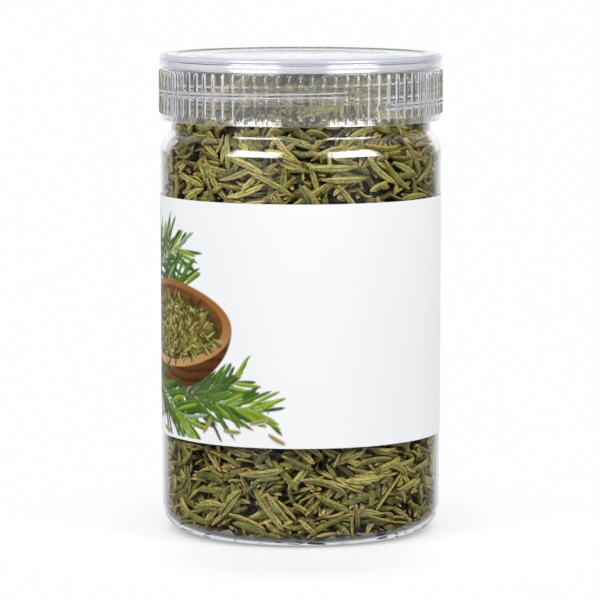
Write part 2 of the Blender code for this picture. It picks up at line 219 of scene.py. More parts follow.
def buildSurroundings():
    world = bpy.data.worlds.new("white_studio")
    bpy.context.scene.world = world
    world.use_nodes = True
    tree = world.node_tree
    tree.nodes.clear()
    place = addNode(tree, "ShaderNodeTexCoord")
    axes = addNode(tree, "ShaderNodeSeparateXYZ", links={0: place.outputs["Generated"]})
    ray = addNode(tree, "ShaderNodeLightPath")
    height = axes.outputs["Z"]
    turn = reckon(tree, "ARCTAN2", axes.outputs["X"], reckon(tree, "MULTIPLY", axes.outputs["Y"], -1.0))
    degrees = reckon(tree, "DEGREES", turn, 0.0)
    through = ramped(tree, height, *studio["overhead"], studio["through"], studio["throughOverhead"])
    # gloss sees a dark front, a grey back that is white where it is level and straight behind, a faint
    # horizon, and tall soft panels that end a little under the horizon
    around = reckon(tree, "ABSOLUTE", degrees, 0.0)
    back = ramped(tree, around, *studio["backAngles"], studio["mirrorFront"], studio["mirrorBack"])
    level = reckon(tree, "MULTIPLY", ramped(tree, height, *studio["farFoot"], 0.0, 1.0),
                   ramped(tree, height, *studio["farTop"], 1.0, 0.0))
    far = reckon(tree, "MULTIPLY", ramped(tree, around, *studio["farAngles"], 0.0, 1.0), level)
    back = choose(tree, far, back, studio["mirrorFar"])
    # a dark slot straight behind, under the horizon, draws the outline of clear walls
    slot = reckon(tree, "MULTIPLY", ramped(tree, around, *studio["slotAngles"], 0.0, 1.0),
                  ramped(tree, height, *studio["slotTop"], 1.0, 0.0))
    back = choose(tree, slot, back, studio["mirrorSlot"])
    horizon = reckon(tree, "MULTIPLY",
                     ramped(tree, height, *studio["horizonFoot"], 0.0, studio["mirrorHorizon"]),
                     ramped(tree, height, *studio["horizonTop"], 1.0, 0.0))
    horizon = reckon(tree, "MULTIPLY", horizon, ramped(tree, around, *studio["horizonAngles"], 0.0, 1.0))
    mirror = reckon(tree, "MAXIMUM", back, horizon)
    upright = reckon(tree, "MULTIPLY",
                     ramped(tree, height, *studio["panelBottom"], 0.0, studio["panelBright"]),
                     ramped(tree, height, *studio["panelTop"], 1.0, 0.0))
    foot = studio["panelFoot"]
    upright = reckon(tree, "ADD", upright,
                     ramped(tree, height, *studio["footHeights"], studio["footFade"] * foot, foot))
    for middle, half in studio["panels"]:
        away = reckon(tree, "ABSOLUTE", reckon(tree, "SUBTRACT", degrees, float(middle)), 0.0)
        inner, outer = half - studio["panelEdge"], half + studio["panelEdge"]
        lit = reckon(tree, "MULTIPLY", ramped(tree, away, inner, outer, 1.0, 0.0), upright)
        mirror = reckon(tree, "ADD", mirror, lit)
    glossed = reckon(tree, "GREATER_THAN", ray.outputs["Glossy Depth"], 0.5)
    guided = reckon(tree, "GREATER_THAN", ray.outputs["Glossy Depth"], 1.5)
    scattered = reckon(tree, "GREATER_THAN", ray.outputs["Diffuse Depth"], 0.5)
    seen = choose(tree, guided, choose(tree, glossed, through, mirror), studio["guided"])
    passed = reckon(tree, "GREATER_THAN", ray.outputs["Transmission Depth"], 0.5)
    seen = choose(tree, scattered, seen, choose(tree, passed, studio["ambient"], studio["ambientInside"]))
    seen = choose(tree, ray.outputs["Is Camera Ray"], seen, studio["backdrop"])
    light = addNode(tree, "ShaderNodeBackground", {"Color": (1, 1, 1, 1)}, {"Strength": seen})
    addNode(tree, "ShaderNodeOutputWorld", links={"Surface": light.outputs[0]})


buildSurroundings()

# Plain white card under the jar: it glows white, with a painted contact shadow round the jar's foot, painted
# shade in front of it, and a painted shadow under the jar where it shows through clear walls. Distances are
# metres from the jar's axis.
tableCard = {
    "radius": 3.0, "colour": "#F4F4F5", "drop": 0.00002,
    "shadowReach": (0.036, 0.11), "shadowShare": 0.62,
    # painted shadow: how far out and how dark the card's glow is round the jar's foot and in front of it
    "contactReach": (0.0355, 0.044), "contactDark": 0.42,
    "frontPoint": (0, -0.045, 0), "frontReach": (0.02, 0.06), "frontShadowDark": 0.80, "bright": 0.995,
    "diffuse": 0.35,        # what matt surfaces receive from it
    "mirror": 0.03,         # what gloss reflects
    # painted shadow: seen through clear walls, the card is darker under the jar
    "underShadowReach": (0.038, 0.056), "under": 0.35, "through": 0.85,   # what shows through clear walls
}


def buildFloor():
    material, tree = newMaterial("white_table_card")
    place = addNode(tree, "ShaderNodeTexCoord")
    ray = addNode(tree, "ShaderNodeLightPath")
    flat = addNode(tree, "ShaderNodeVectorMath", {"operation": "LENGTH"}, {0: place.outputs["Object"]})
    fade = ramped(tree, flat.outputs["Value"], *tableCard["shadowReach"], tableCard["shadowShare"], 1.0)
    scattered = reckon(tree, "GREATER_THAN", ray.outputs["Diffuse Depth"], 0.5)
    card = addNode(tree, "ShaderNodeBsdfDiffuse", {"Color": toLinear(tableCard["colour"])})
    forward = addNode(tree, "ShaderNodeVectorMath", {"operation": "DISTANCE", 1: tableCard["frontPoint"]},
                      {0: place.outputs["Object"]})
    # painted shadow round the jar's foot, times painted shade in front of it, sets the card's glow
    contact = ramped(tree, flat.outputs["Value"], *tableCard["contactReach"], tableCard["contactDark"], 1.0)
    front = ramped(tree, forward.outputs["Value"], *tableCard["frontReach"], tableCard["frontShadowDark"],
                   tableCard["bright"])
    contact = reckon(tree, "MULTIPLY", contact, front)
    glow = addNode(tree, "ShaderNodeEmission", {"Color": (1, 1, 1, 1)},
                   {"Strength": choose(tree, scattered, contact, tableCard["diffuse"])})
    both = addNode(tree, "ShaderNodeMixShader", links={"Fac": fade, 1: card.outputs[0], 2: glow.outputs[0]})
    passed = reckon(tree, "GREATER_THAN", ray.outputs["Transmission Depth"], 0.5)
    passed = reckon(tree, "MULTIPLY", passed, reckon(tree, "SUBTRACT", 1.0, scattered))
    # painted shadow under the jar, for rays that came through clear walls
    under = ramped(tree, flat.outputs["Value"], *tableCard["underShadowReach"], tableCard["under"],
                   tableCard["through"])
    lit = addNode(tree, "ShaderNodeEmission", {"Color": (1, 1, 1, 1)}, {"Strength": under})
    both = addNode(tree, "ShaderNodeMixShader",
                   links={"Fac": passed, 1: both.outputs[0], 2: lit.outputs[0]})
    # a card that near would grey every clear wall, so its single reflection is kept dim
    single = reckon(tree, "COMPARE", ray.outputs["Glossy Depth"], 1.0)
    dim = addNode(tree, "ShaderNodeEmission", {"Color": (1, 1, 1, 1), "Strength": tableCard["mirror"]})
    both = addNode(tree, "ShaderNodeMixShader",
                   links={"Fac": single, 1: both.outputs[0], 2: dim.outputs[0]})
    addNode(tree, "ShaderNodeOutputMaterial", links={"Surface": both.outputs[0]})
    drawn = bmesh.new()
    bmesh.ops.create_circle(drawn, cap_ends=True, segments=128, radius=tableCard["radius"])
    mesh = bpy.data.meshes.new("floor")
    drawn.to_mesh(mesh)
    drawn.free()
    mesh.materials.append(material)
    floor = bpy.data.objects.new("floor", mesh)
    floor.location.z = -tableCard["drop"]
    floor.visible_glossy = False
    bpy.context.scene.collection.objects.link(floor)


buildFloor()
print("studio and camera are set")


# Clear plastics. Moulded PET is glass-clear with a faint grey-blue cast in its thick edges and slow waves in
# its wall; moulded polystyrene is crisper and a little hazy.
clearPlastics = {
    "pet": {"name": "clear_pet_blow_moulded", "ior": 1.57, "roughness": 0.008, "cast": "#DCE1EA",
            "density": 50.0, "clear": 1.0, "waveSize": 14.0, "waveDepth": 0.012},
    "styrene": {"name": "clear_polystyrene_injection_moulded", "ior": 1.59, "roughness": 0.03,
                "cast": "#D6D8EA", "density": 60.0, "clear": 0.96, "waveSize": 9.0, "waveDepth": 0.01},
}


def clearMaterial(spec):
    material, tree = newMaterial(spec["name"])
    place = addNode(tree, "ShaderNodeTexCoord")
    wave = addNode(tree, "ShaderNodeTexNoise", {"Scale": 1 / (spec["waveSize"] * mm), "Detail": 1.0},
                   {"Vector": place.outputs["Object"]})
    dent = addNode(tree, "ShaderNodeBump", {"Strength": 1.0, "Distance": spec["waveDepth"] * mm},
                   {"Height": wave.outputs["Fac"]})
    plastic = addNode(tree, "ShaderNodeBsdfPrincipled",
                      {"Base Color": (1, 1, 1, 1), "Roughness": spec["roughness"], "IOR": spec["ior"],
                       "Transmission Weight": spec["clear"]}, {"Normal": dent.outputs[0]})
    ray = addNode(tree, "ShaderNodeLightPath")
    clear = addNode(tree, "ShaderNodeBsdfTransparent", {"Color": toLinear("#FBFBFC")})
    # light that runs on and on inside a wall is let out
    trapped = reckon(tree, "GREATER_THAN", ray.outputs["Glossy Depth"], 2.5)
    passing = reckon(tree, "MAXIMUM", ray.outputs["Is Shadow Ray"], trapped)
    both = addNode(tree, "ShaderNodeMixShader",
                   links={"Fac": passing, 1: plastic.outputs[0], 2: clear.outputs[0]})
    tinted = addNode(tree, "ShaderNodeVolumeAbsorption",
                     {"Color": toLinear(spec["cast"]), "Density": spec["density"]})
    addNode(tree, "ShaderNodeOutputMaterial", links={"Surface": both.outputs[0], "Volume": tinted.outputs[0]})
    return material


petMaterial = clearMaterial(clearPlastics["pet"])
styreneMaterial = clearMaterial(clearPlastics["styrene"])

# Jar: one clear shell, blown body with a screw neck. Radii and heights in mm.
jar = {
    "bodyTopRadius": 43.70, "bodyLowRadius": 43.45, "neckRadius": 40.45, "wall": 1.25, "rimHeight": 145.0,
    "shoulderFoot": 118.9, "neckFoot": 125.03, "shoulderRounding": 7.3, "shoulderSweep": 50,
    "heelRounding": 8.0, "standRadius": 33.2, "pushUp": 2.4, "pushUpEdge": 10, "standEdge": 2.6,
    "baseThickness": 1.6, "floorHeight": 1.75, "innerHeelRounding": 6.45, "columns": 192,
    "threadSpan": (133.6, 143.2), "threadSpacing": 0.2,
    "thread": {"pitch": 4.2, "frontHeight": 140.35, "startAngle": -160, "turns": 1.5, "fadeTurns": 0.07,
               "crestRadius": 41.6, "crestHalf": 0.30, "rootHalf": 1.0},
}


def jarCorners():
    wall, top, low = jar["wall"], jar["bodyTopRadius"], jar["bodyLowRadius"]
    half = math.radians(jar["shoulderSweep"]) / 2
    reach = jar["shoulderRounding"] * math.tan(half)
    innerReach = (jar["shoulderRounding"] - wall) * math.tan(half)
    foot, neck, rim = jar["shoulderFoot"], jar["neckRadius"], jar["rimHeight"]
    stand, heel, innerHeel = jar["standRadius"], jar["heelRounding"], jar["innerHeelRounding"]
    push, edge, floorHeight = jar["pushUp"], stand - jar["pushUpEdge"], jar["floorHeight"]
    return [
        (0.0, push, 0, 0),
        (edge, push - 0.5, 6, 5),
        (stand - jar["standEdge"], 0.55, 1.5, 4),
        (stand, 0.0, 0.8, 3),
        (low, 0.0, heel, 14),
        (top, foot + reach, reach, 14),
        (neck, jar["neckFoot"], 0.8, 5),
        (neck, rim, 0.4, 3),
        (neck - wall, rim, 0.35, 3),
        (neck - wall, jar["neckFoot"] - wall * math.tan(half), 1.1, 6),
        (top - wall, foot + innerReach, innerReach, 12),
        (low - wall, floorHeight, innerHeel, 12),
        (stand - 1.0, floorHeight, 1.0, 3),
        (edge, push + jar["baseThickness"] - 0.5, 6, 5),
        (0.0, push + jar["baseThickness"], 0, 0),
    ]


drawn = drawProfile(jarCorners())
cutRings(drawn, jar["neckRadius"], np.arange(*jar["threadSpan"], jar["threadSpacing"]))
spinRound(drawn, jar["columns"])
raiseThread(drawn, jar["thread"], jar["neckRadius"])
makePiece(drawn, "clear_jar", petMaterial, "jar", ["jar"])
print("jar shell is blown")

# Lid: ribbed screw lid, one clear shell
lid = {
    "footHeight": 129.0, "topHeight": 149.5, "insideRadius": 42.2, "valleyRadius": 43.5, "bandRadius": 43.95,
    "ceilingHeight": 147.25, "cornerRounding": 1.5, "lineHeight": 147.85, "lineDepth": 0.16,
    "recessRadius": 39.4, "recess": 0.5, "ringRadius": 28.5, "ringDepth": 0.22, "bandHeight": 145.3,
    "ribCount": 76, "ribLow": 130.8, "ribHigh": 144.6, "crestRadius": 44.3, "ribHalf": 0.62,
    "ribRounding": 0.7,
    "ribEndRings": (0.0, 0.08, 0.2, 0.4, 0.7),
    "ribSteps": (-0.62, -0.42, -0.16, 0.16, 0.42, 0.62, 1.25, 2.37),   # where a rib's columns stand
    "ribRise": (0.0, 0.62, 1.0, 1.0, 0.62, 0.0, 0.0, 0.0),             # and how far each is lifted
    "threadSpan": (132.8, 140.2), "threadSpacing": 0.25,
    "thread": {"pitch": 4.2, "frontHeight": 138.25, "startAngle": -60, "turns": 1.0, "fadeTurns": 0.07,
               "crestRadius": 40.85, "crestHalf": 0.30, "rootHalf": 1.05},
}


def lidCorners():
    top, recess = lid["topHeight"], lid["recess"]
    return [
        (0.0, top - recess, 0, 0),
        (lid["ringRadius"] - 0.5, top - recess, 0.2, 2),
        (lid["ringRadius"] - 0.15, top - recess - lid["ringDepth"], 0.1, 2),
        (lid["ringRadius"] + 0.15, top - recess - lid["ringDepth"], 0.1, 2),
        (lid["ringRadius"] + 0.5, top - recess, 0.2, 2),
        (lid["recessRadius"], top - recess, 0.35, 3),
        (lid["recessRadius"] + 0.6, top, 0.35, 3),
        (lid["bandRadius"], top, lid["cornerRounding"] - 0.2, 8),
        (lid["bandRadius"], lid["lineHeight"] + lid["lineDepth"], 0, 0),
        (lid["bandRadius"] - lid["lineDepth"], lid["lineHeight"], 0, 0),
        (lid["bandRadius"], lid["lineHeight"] - lid["lineDepth"], 0, 0),
        (lid["bandRadius"], lid["bandHeight"] + 0.25, 0.2, 2),
        (lid["valleyRadius"], lid["bandHeight"] - 0.1, 0.15, 2),
        (lid["valleyRadius"], lid["footHeight"], 0.16, 3),
        (lid["insideRadius"], lid["footHeight"], 0.16, 3),
        (lid["insideRadius"], lid["ceilingHeight"], 0.7, 4),
        (0.0, lid["ceilingHeight"], 0, 0),
    ]


def raiseRibs(drawn):
    # every rib has the same few columns: they are moved to the rib's flanks, then lifted
    step = fullTurn / lid["ribCount"]
    columns = len(lid["ribSteps"])
    lift = lid["crestRadius"] - lid["valleyRadius"]
    for vert in drawn.verts:
        radius = math.hypot(vert.co.x, vert.co.y) / mm
        if radius < 1:
            continue
        angle = math.atan2(vert.co.y, vert.co.x) + math.pi / 2
        rib, place = divmod(round(angle / (step / columns)), columns)
        across = lid["ribSteps"][place]
        angle = rib * step + across / lid["valleyRadius"] - math.pi / 2
        height = vert.co.z / mm
        if abs(radius - lid["valleyRadius"]) < 0.02 and lid["ribLow"] <= height <= lid["ribHigh"]:
            fromEnd = min(height - lid["ribLow"], lid["ribHigh"] - height)
            tip = math.sqrt(max(0.0, 1 - max(0.0, 1 - fromEnd / lid["ribRounding"]) ** 2))
            half = max(0.05, lid["ribHalf"] * tip)
            narrow = max(0.0, 1 - (abs(across) / half) ** 2) if tip <= 0.99 else 1.0
            radius += lift * lid["ribRise"][place] * min(1.0, tip * 1.05) * narrow
        vert.co.x, vert.co.y = radius * mm * math.cos(angle), radius * mm * math.sin(angle)


drawn = drawProfile(lidCorners())
cutRings(drawn, lid["valleyRadius"], [lid["ribLow"] + x for x in lid["ribEndRings"]])
cutRings(drawn, lid["valleyRadius"], [lid["ribHigh"] - x for x in reversed(lid["ribEndRings"])])
cutRings(drawn, lid["insideRadius"], np.arange(*lid["threadSpan"], lid["threadSpacing"]))
spinRound(drawn, lid["ribCount"] * len(lid["ribSteps"]))
raiseThread(drawn, lid["thread"], lid["insideRadius"])
raiseRibs(drawn)
makePiece(drawn, "clear_lid", styreneMaterial, "lid", ["lid"])
print("lid is moulded")

# Seal disc: white expanded foam, skinned, pressed between lid and rim
seal = {"radius": 41.8, "low": 145.3, "high": 147.3, "rounding": 0.35, "cellSize": 0.35, "columns": 128}


def foamMaterial():
    material, tree = newMaterial("white_polyethylene_foam")
    place = addNode(tree, "ShaderNodeTexCoord")
    cells = addNode(tree, "ShaderNodeTexVoronoi", {"Scale": 1 / (seal["cellSize"] * mm)},
                    {"Vector": place.outputs["Object"]})
    tones = {"data_type": "RGBA", 6: toLinear("#FDFDFE"), 7: toLinear("#EFF0F3")}
    tone = addNode(tree, "ShaderNodeMix", tones,
                   {"Factor": cells.outputs["Distance"]})
    dent = addNode(tree, "ShaderNodeBump", {"Strength": 0.35, "Distance": 0.05 * mm},
                   {"Height": cells.outputs["Distance"]})
    foam = addNode(tree, "ShaderNodeBsdfPrincipled", {"Roughness": 0.6, "IOR": 1.5},
                   {"Base Color": tone.outputs[2], "Normal": dent.outputs[0]})
    addNode(tree, "ShaderNodeOutputMaterial", links={"Surface": foam.outputs[0]})
    return material


drawn = drawProfile([(0.0, seal["high"], 0, 0), (seal["radius"], seal["high"], seal["rounding"], 3),
                     (seal["radius"], seal["low"], seal["rounding"], 3), (0.0, seal["low"], 0, 0)])
spinRound(drawn, seal["columns"])
makePiece(drawn, "foam_seal", foamMaterial(), "seal", ["lid_liner"])

# Label: satin paper wrapped round the straight wall, open seam at the back
label = {"low": 31.2, "high": 105.7, "gap": 0.10, "thickness": 0.15, "seamDegrees": 12, "columns": 232,
         "fibre": 0.25, "printRadius": 43.85}


def bodyRadius(height):
    share = (height - jar["heelRounding"]) / (jar["shoulderFoot"] - jar["heelRounding"])
    return jar["bodyLowRadius"] + (jar["bodyTopRadius"] - jar["bodyLowRadius"]) * share


def paperMaterial():
    material, tree = newMaterial("satin_label_paper")
    place = addNode(tree, "ShaderNodeTexCoord")
    fibre = addNode(tree, "ShaderNodeTexNoise", {"Scale": 1 / (label["fibre"] * mm), "Detail": 3.0},
                    {"Vector": place.outputs["Object"]})
    tones = {"data_type": "RGBA", 6: toLinear("#E3E4E6"), 7: toLinear("#EBEBED")}
    tone = addNode(tree, "ShaderNodeMix", tones,
                   {"Factor": fibre.outputs["Fac"]})
    dent = addNode(tree, "ShaderNodeBump", {"Strength": 0.15, "Distance": 0.02 * mm},
                   {"Height": fibre.outputs["Fac"]})
    # ink dots: the attribute holds the colour already weighed by its cover, and its alpha is the cover
    ink = addNode(tree, "ShaderNodeAttribute", {"attribute_name": "ink"})
    bare = addNode(tree, "ShaderNodeMix", {"data_type": "RGBA", 7: (0, 0, 0, 1)},
                   {"Factor": ink.outputs["Alpha"], 6: tone.outputs[2]})
    inked = addNode(tree, "ShaderNodeMix", {"data_type": "RGBA", "blend_type": "ADD", "Factor": 1.0},
                    {6: bare.outputs[2], 7: ink.outputs["Color"]})
    finish = {"Roughness": 0.42, "IOR": 1.5, "Specular IOR Level": 0.22}
    paper = addNode(tree, "ShaderNodeBsdfPrincipled", finish,
                    {"Base Color": inked.outputs[2], "Normal": dent.outputs[0]})
    addNode(tree, "ShaderNodeOutputMaterial", links={"Surface": paper.outputs[0]})
    return material


def buildLabel():
    drawn = bmesh.new()
    blank = drawn.verts.layers.float_color.new("ink")
    corners = []
    for height in (label["high"], label["low"]):
        inner = bodyRadius(height) + label["gap"]
        pair = [inner, inner + label["thickness"]]
        corners += [(r, height) for r in (pair if height == label["high"] else pair[::-1])]
    section = drawn.faces.new([drawn.verts.new((r * mm, 0, z * mm)) for r, z in corners])
    begin = math.radians(90 + label["seamDegrees"] / 2)
    bmesh.ops.rotate(drawn, verts=drawn.verts, cent=(0, 0, 0), matrix=Matrix.Rotation(begin, 3, "Z"))
    bmesh.ops.spin(drawn, geom=[section, *section.edges, *section.verts], cent=(0, 0, 0), axis=(0, 0, 1),
                   angle=math.radians(360 - label["seamDegrees"]), steps=label["columns"])
    bmesh.ops.recalc_face_normals(drawn, faces=drawn.faces)
    for vert in drawn.verts:
        vert[blank] = (0, 0, 0, 0)
    makePiece(drawn, "paper_label", paperLook, "jar", ["label"], sharpAngle=40)


paperLook = paperMaterial()
buildLabel()
print("seal and label are on")

# Label print: rosemary twigs round a turned wooden bowl of dried leaves, laid as ink dots on a thin patch of
# the same paper. Places are mm along the label from its front middle, and mm above the table.
art = {
    "left": -84.0, "right": 5.0, "low": 32.0, "high": 104.6, "dot": 0.3, "finer": 2, "lift": 0.02, "seed": 23,
    "bowl": {"middle": (-51.5, 67.0), "halfWidth": 29.5, "rimHalf": 13.5, "depth": 19.5, "rim": 3.2},
    "leavesInBowl": 1100,
    "behind": [  # start, heading in degrees, length, bend, longest leaf
        {"start": (-76, 77), "heading": 62, "length": 20, "bend": -0.4, "leaf": 15.0},
        {"start": (-70, 80), "heading": 26, "length": 27, "bend": -0.3, "leaf": 17.0},
        {"start": (-60, 77), "heading": 4, "length": 19, "bend": 0.2, "leaf": 15.0},
        {"start": (-44, 47), "heading": 6, "length": 24, "bend": 0.35, "leaf": 13.0},
        {"start": (-54, 46), "heading": -4, "length": 42, "bend": -0.1, "leaf": 14.5},
    ],
    "before": [
        {"start": (-80, 53), "heading": -20, "length": 44, "bend": -0.15, "leaf": 15.0},
    ],
    "strayLeaves": [(-64, 36.5, 15), (-25, 36.0, -4), (-16, 38.5, 14), (-33, 34.6, 55), (-10, 35.6, -32),
                    (-57, 34.2, -12)],   # place and heading in degrees
    "wood": ("#4F2C12", "#93602F", "#CDA271"),
    # each leaf's shaded and lit side
    "greens": [("#1B330D", "#4A6B28"), ("#29470F", "#648A2E"), ("#456A12", "#A2BC3C")],
    "felted": ("#62805A", "#A9BE9A"),
    "olives": [("#2C2A0E", "#766F30"), ("#4A4719", "#A0964A"), ("#6A632A", "#CFC27A"),
               ("#15180A", "#3F441C"), ("#33290F", "#7A6234")],
    "pairSpacing": 1.05,
}
bladeShare = ((0.0, 0.5), (0.1, 0.7), (0.3, 0.95), (0.6, 1.0), (0.88, 0.85), (1.0, 0.4))
stemShare = ((0.0, 1.0), (0.5, 0.8), (1.0, 0.45))


def inkColour(hexText):
    return np.array(toLinear(hexText)[:3])


def layInk(ink, colour, cover):
    ink *= 1 - cover[..., None]
    ink[..., :3] += colour * cover[..., None]
    ink[..., 3] += cover


def inkBlade(sheet, base, heading, length, width, bend, dark, light, shape=bladeShare, vein=0.3):
    # one tapered stroke along a bent line, its upper side lit
    stations = 20
    share = np.linspace(0, 1, stations)
    angles = heading + bend * (share - 0.3)
    steps = np.stack([np.cos(angles), np.sin(angles)], 1) * length / (stations - 1)
    points = np.array(base) + np.cumsum(steps, 0)
    low, high = points.min(0) - width, points.max(0) + width
    columns = slice(*np.searchsorted(sheet["across"], (low[0], high[0])))
    rows = slice(*np.searchsorted(sheet["upward"], (low[1], high[1])))
    across, upward = np.meshgrid(sheet["across"][columns], sheet["upward"][rows])
    if not across.size:
        return
    apart = np.hypot(across[..., None] - points[:, 0], upward[..., None] - points[:, 1])
    nearest = apart.argmin(-1)
    turn = angles[nearest]
    side = (upward - points[nearest, 1]) * np.cos(turn) - (across - points[nearest, 0]) * np.sin(turn)
    reach = width / 2 * np.interp(share, *zip(*shape))[nearest]
    cover = np.clip((reach - apart.min(-1)) / sheet["step"] + 0.5, 0, 1)
    ratio = np.clip(side / reach, -1, 1)
    lit = (0.5 + 0.5 * ratio * np.cos(turn))[..., None]
    rib = (vein * np.exp(-(ratio / 0.22) ** 2))[..., None]
    colour = inkColour(dark) * (1 - lit) + inkColour(light) * lit
    layInk(sheet["ink"][rows, columns], colour * (1 - 0.6 * rib), cover)


def inkTwig(sheet, random, twig):
    start, length, bend, greens = twig["start"], twig["length"], twig["bend"], art["greens"]
    heading = math.radians(twig["heading"])
    pairs = int(length / art["pairSpacing"])
    for front in (False, True):
        if front:
            inkBlade(sheet, start, heading, length, 1.5, bend, "#6E5A34", "#B79C6A", stemShare, 0.0)
        for number in range(pairs):
            share = (number + 0.5) / pairs
            turn = heading + bend * (share - 0.3)
            along = heading + bend * (share / 2 - 0.3)
            base = (start[0] + share * length * math.cos(along),
                    start[1] + share * length * math.sin(along))
            side = 1 if number % 2 else -1
            lean = math.radians(random.uniform(14, 66)) * (1 - 0.3 * share) * (side if front else -side)
            reach = twig["leaf"] * (1 - 0.35 * share ** 2) * random.uniform(0.6, 1.1)
            dark, light = greens[min(2, int(share * 2.2 + random.random() * 0.9))] if front else greens[0]
            if front and random.random() < 0.15:
                dark, light = art["felted"]
            width = random.uniform(1.05, 1.5)
            curl = -0.6 * lean * random.uniform(-0.3, 1.2)
            inkBlade(sheet, base, turn + lean, reach, width, curl, dark, light)


def inkBowl(sheet, random):
    bowl, ink = art["bowl"], sheet["ink"]
    across, upward = np.meshgrid(sheet["across"], sheet["upward"])
    x, y = (across - bowl["middle"][0]) / bowl["halfWidth"], upward - bowl["middle"][1]
    dark, mid, pale = (inkColour(w) for w in art["wood"])

    def inside(wide, tall, lift=0.0, soft=0.012):
        return np.clip((1 - np.hypot(x / wide, (y - lift) / tall)) / soft + 0.5, 0, 1)

    shadow = 0.34 * np.exp(-((x + 0.05) / 0.85) ** 4 - ((y + bowl["depth"] - 1.0) / 3.4) ** 2)
    layInk(ink, inkColour("#6E6A62"), shadow)
    # turned body with long dark grain, lit from the upper left
    grain = np.sin(2.1 * y + 5.0 * np.sin(2.2 * x + 0.4) + 1.3 * np.sin(6.1 * x)) * 0.5 + 0.5
    fine = np.sin(7.3 * y + 9.0 * np.sin(1.7 * x + 1.0)) * 0.5 + 0.5
    light = np.clip(0.75 - 0.55 * x + 0.022 * y, 0, 1)[..., None]
    body = (dark * (1 - light) + mid * light) * (1 - 0.55 * grain ** 3 - 0.16 * fine)[..., None]
    foot = np.clip((y + bowl["depth"] - 0.4) / 0.4, 0, 1)
    layInk(ink, body, inside(1.0, bowl["depth"] * 1.06) * (y < 0) * foot)
    rimTone = np.clip(0.5 - 0.35 * x - 0.03 * y, 0, 1)[..., None]
    rim = (mid * (1 - rimTone) + pale * rimTone) * (1 - 0.12 * fine)[..., None]
    layInk(ink, rim, inside(1.0, bowl["rimHalf"]))
    wide, tall = 1 - bowl["rim"] / bowl["halfWidth"], bowl["rimHalf"] - 0.62 * bowl["rim"]
    hollowTone = np.clip(0.3 + 0.05 * y + 0.4 * x, 0, 1)[..., None]
    hollow = (dark * 0.55 + mid * 0.45 * hollowTone) * (1 - 0.2 * grain)[..., None]
    layInk(ink, hollow, inside(wide, tall, 0.3))
    layInk(ink, inkColour("#3E3A17"), inside(wide * 0.93, tall * 0.86, -0.9, 0.05))
    # dried leaves, the far ones first
    angle = random.uniform(0, fullTurn, art["leavesInBowl"])
    radius = np.sqrt(random.random(art["leavesInBowl"]))
    spots = np.stack([bowl["middle"][0] + radius * np.cos(angle) * bowl["halfWidth"] * wide * 0.9,
                      bowl["middle"][1] - 0.9 + radius * np.sin(angle) * tall * 0.78], 1)
    for spot in spots[np.argsort(-spots[:, 1])]:
        dark, light = art["olives"][random.integers(len(art["olives"]))]
        heading = random.uniform(-1.2, 1.2) + (math.pi if random.random() < 0.5 else 0)
        length, width = random.uniform(2.2, 4.6), random.uniform(0.6, 0.95)
        inkBlade(sheet, spot, heading, length, width, random.normal(0, 0.4), dark, light, vein=0.0)


def printLabel():
    step = art["dot"] / art["finer"]
    random = np.random.default_rng(art["seed"])
    across = np.arange(art["left"], art["right"] - 1e-6, step) + step / 2
    upward = np.arange(art["low"], art["high"] - 1e-6, step) + step / 2
    ink = np.zeros((len(upward), len(across), 4))
    sheet = {"across": across, "upward": upward, "step": step, "ink": ink}
    for twig in art["behind"]:
        inkTwig(sheet, random, twig)
    inkBowl(sheet, random)
    for twig in art["before"]:
        inkTwig(sheet, random, twig)
    for u, v, heading in art["strayLeaves"]:
        inkBlade(sheet, (u, v - 0.4), math.radians(heading), 5.6, 1.3, 0.2, "#A9A9A6", "#C9C9C6", vein=0.0)
        inkBlade(sheet, (u, v), math.radians(heading), 5.6, 1.15, 0.2, "#6B6227", "#B7A95A")
    rows, columns = len(upward) // art["finer"], len(across) // art["finer"]
    ink = ink.reshape(rows, art["finer"], columns, art["finer"], 4).mean((1, 3))

    drawn = bmesh.new()
    dotted = drawn.verts.layers.float_color.new("ink")
    bmesh.ops.create_grid(drawn, x_segments=columns - 1, y_segments=rows - 1, size=0.5)
    for vert in drawn.verts:
        column, row = round((vert.co.x + 0.5) * (columns - 1)), round((vert.co.y + 0.5) * (rows - 1))
        vert[dotted] = ink[row, column]
        u, height = art["left"] + (column + 0.5) * art["dot"], art["low"] + (row + 0.5) * art["dot"]
        radius = bodyRadius(height) + label["gap"] + label["thickness"] + art["lift"]
        angle = u / label["printRadius"] - math.pi / 2
        vert.co = (radius * mm * math.cos(angle), radius * mm * math.sin(angle), height * mm)
    makePiece(drawn, "printed_patch", paperLook, "jar")


printLabel()
print("label is printed")

# Dried rosemary. Every leaf is a narrow body of its own: rolled blade, smooth above, two pale lobes with a dark
# channel below, and an orange-brown foot where it left the stem. Sizes in mm.
herb = {
    "seed": 5, "shellDepth": 7.5, "fill": 0.43, "meanVolume": 13.5,
    "whole": 0.56, "broken": 0.28,   # shares; the rest are crumbs
    "blades": 8, "bitHalf": 2.1,     # blade shapes, and the half length under which a leaf is a bit
    "bands": [  # all round, but for the strip behind the label's open seam
        {"name": "low", "low": 2.0, "high": 38.0, "halfDegrees": 180, "inner": None},
        {"name": "high", "low": 97.0, "high": 144.6, "halfDegrees": 180, "inner": None},
        {"name": "seam", "low": 38.0, "high": 97.0, "halfDegrees": 11, "inner": None},
        {"name": "base", "low": 2.0, "high": 7.0, "halfDegrees": 180, "inner": 0.0},
        {"name": "top", "low": 140.5, "high": 144.6, "halfDegrees": 180, "inner": 0.0},
    ],
    "rounds": 90, "push": 0.35, "overlap": 0.93, "pairsPerBlock": 256,
    "fillTop": 144.75, "wallGap": 0.08, "floorGap": 0.05,
    "sectors": {"low": 5, "high": 7, "seam": 1, "base": 1, "top": 1},
    # near-black tones of painted shade, for the bulk and for the deeper leaves
    "paintedShadeDark": "#070603", "paintedShadeLight": "#151309",
    "shadeFrom": 1.2, "shadeTo": 4.7,
}

